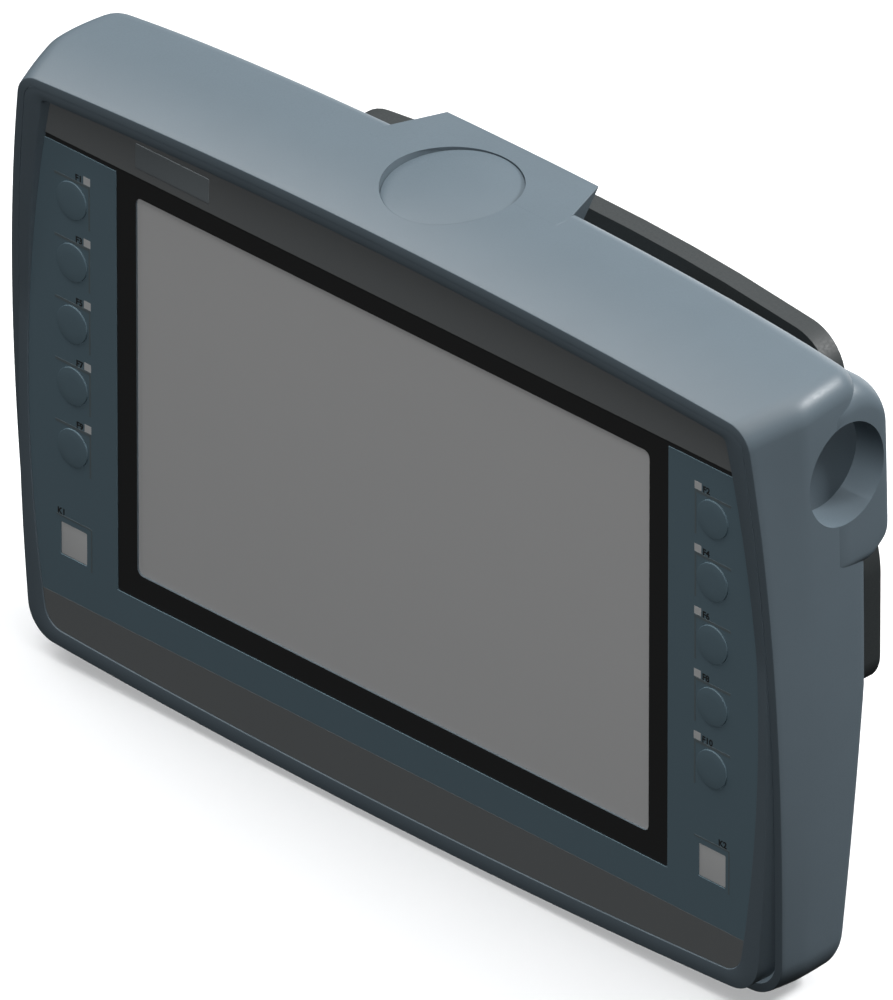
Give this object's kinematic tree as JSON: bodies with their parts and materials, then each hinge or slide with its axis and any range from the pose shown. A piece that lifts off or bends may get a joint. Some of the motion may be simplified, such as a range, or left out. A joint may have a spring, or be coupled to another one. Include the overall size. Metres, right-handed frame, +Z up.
{
  "type": "hmi touch panel",
  "caption": "Hand-held operator panel: wide touch display between two columns of function keys, round switch seat on top, side service port and rear grip ring.",
  "frame": {"origin": "on the rear face of the grip ring, at the middle of its upper band", "axes": "+Z up, the display faces -Y, +X to the right as the user looks at the display"},
  "size_m": [0.2928, 0.0843, 0.1929],
  "materials": {
    "housing": "moulded, fine texture",
    "seat": "moulded, smooth",
    "frame": "moulded, satin",
    "grip": "moulded, fine texture",
    "seal": "matt",
    "band_film": "printed polyester film",
    "key_film": "printed polyester film",
    "mask": "satin print",
    "display": "matt anti-glare",
    "lcd": "folded sheet",
    "steel": "zinc plated",
    "board": "solder mask",
    "led": "diffusing",
    "square_key": "printed film",
    "ribbon": "polyester",
    "plate": "printed",
    "black_plastic": "moulded",
    "enable": "soft touch",
    "switch": "moulded",
    "terminal": "moulded"
  },
  "bodies": {
    "housing": {"main_housing": "housing", "rear_cover": "housing", "housing_seal": "seal", "front_frame": "frame", "frame_seal": "seal", "header_film": "band_film", "key_film": "key_film", "footer_film": "band_film", "window_mask": "mask", "touch_screen": "display", "touch_tape": "seal", "lcd_gasket": "seal", "lcd_module": "lcd", "lcd_bracket": "steel", "lcd_screws": "steel", "main_board": "board", "board_spacers": "steel", "board_screws": "steel", "key_board_left": "board", "key_board_right": "board", "key_domes": "steel", "led_windows": "led", "ribbon_cables": "ribbon", "name_plate": "plate", "stop_seat": "seat", "stop_seat_nut": "black_plastic", "port_plate": "seat", "grip_ring": "grip", "grip_struts": "grip", "strut_screws": "steel", "enable_switch_left": "switch", "enable_switch_right": "switch", "compartment_cover": "black_plastic", "compartment_seal": "seal", "compartment_screws": "steel", "terminal_block": "terminal", "cable_inlet": "black_plastic", "inlet_nut": "steel", "rear_screws": "steel", "rating_plate": "plate"},
    "key_f1_body": {"key_f1": "key_film"},
    "key_f2_body": {"key_f2": "key_film"},
    "key_f3_body": {"key_f3": "key_film"},
    "key_f4_body": {"key_f4": "key_film"},
    "key_f5_body": {"key_f5": "key_film"},
    "key_f6_body": {"key_f6": "key_film"},
    "key_f7_body": {"key_f7": "key_film"},
    "key_f8_body": {"key_f8": "key_film"},
    "key_f9_body": {"key_f9": "key_film"},
    "key_f10_body": {"key_f10": "key_film"},
    "key_k1_body": {"key_k1": "square_key"},
    "key_k2_body": {"key_k2": "square_key"},
    "enable_button_left_body": {"enable_button_left": "enable"},
    "enable_button_right_body": {"enable_button_right": "enable"}
  },
  "joints": [
    {"name": "key_f1_press", "type": "slide", "parent": "housing", "child": "key_f1_body", "axis": [0, 1, 0], "range_m": [0, 0.0004], "stiffness_N_per_m": 1500, "springref_m": -0.001},
    {"name": "key_f2_press", "type": "slide", "parent": "housing", "child": "key_f2_body", "axis": [0, 1, 0], "range_m": [0, 0.0004], "stiffness_N_per_m": 1500, "springref_m": -0.001},
    {"name": "key_f3_press", "type": "slide", "parent": "housing", "child": "key_f3_body", "axis": [0, 1, 0], "range_m": [0, 0.0004], "stiffness_N_per_m": 1500, "springref_m": -0.001},
    {"name": "key_f4_press", "type": "slide", "parent": "housing", "child": "key_f4_body", "axis": [0, 1, 0], "range_m": [0, 0.0004], "stiffness_N_per_m": 1500, "springref_m": -0.001},
    {"name": "key_f5_press", "type": "slide", "parent": "housing", "child": "key_f5_body", "axis": [0, 1, 0], "range_m": [0, 0.0004], "stiffness_N_per_m": 1500, "springref_m": -0.001},
    {"name": "key_f6_press", "type": "slide", "parent": "housing", "child": "key_f6_body", "axis": [0, 1, 0], "range_m": [0, 0.0004], "stiffness_N_per_m": 1500, "springref_m": -0.001},
    {"name": "key_f7_press", "type": "slide", "parent": "housing", "child": "key_f7_body", "axis": [0, 1, 0], "range_m": [0, 0.0004], "stiffness_N_per_m": 1500, "springref_m": -0.001},
    {"name": "key_f8_press", "type": "slide", "parent": "housing", "child": "key_f8_body", "axis": [0, 1, 0], "range_m": [0, 0.0004], "stiffness_N_per_m": 1500, "springref_m": -0.001},
    {"name": "key_f9_press", "type": "slide", "parent": "housing", "child": "key_f9_body", "axis": [0, 1, 0], "range_m": [0, 0.0004], "stiffness_N_per_m": 1500, "springref_m": -0.001},
    {"name": "key_f10_press", "type": "slide", "parent": "housing", "child": "key_f10_body", "axis": [0, 1, 0], "range_m": [0, 0.0004], "stiffness_N_per_m": 1500, "springref_m": -0.001},
    {"name": "key_k1_press", "type": "slide", "parent": "housing", "child": "key_k1_body", "axis": [0, 1, 0], "range_m": [0, 0.0004], "stiffness_N_per_m": 1500, "springref_m": -0.001},
    {"name": "key_k2_press", "type": "slide", "parent": "housing", "child": "key_k2_body", "axis": [0, 1, 0], "range_m": [0, 0.0004], "stiffness_N_per_m": 1500, "springref_m": -0.001},
    {"name": "enable_button_left_press", "type": "slide", "parent": "housing", "child": "enable_button_left_body", "axis": [1, 0, 0], "range_m": [0, 0.0035], "stiffness_N_per_m": 1200, "springref_m": -0.003},
    {"name": "enable_button_right_press", "type": "slide", "parent": "housing", "child": "enable_button_right_body", "axis": [-1, 0, 0], "range_m": [0, 0.0035], "stiffness_N_per_m": 1200, "springref_m": -0.003}
  ]
}
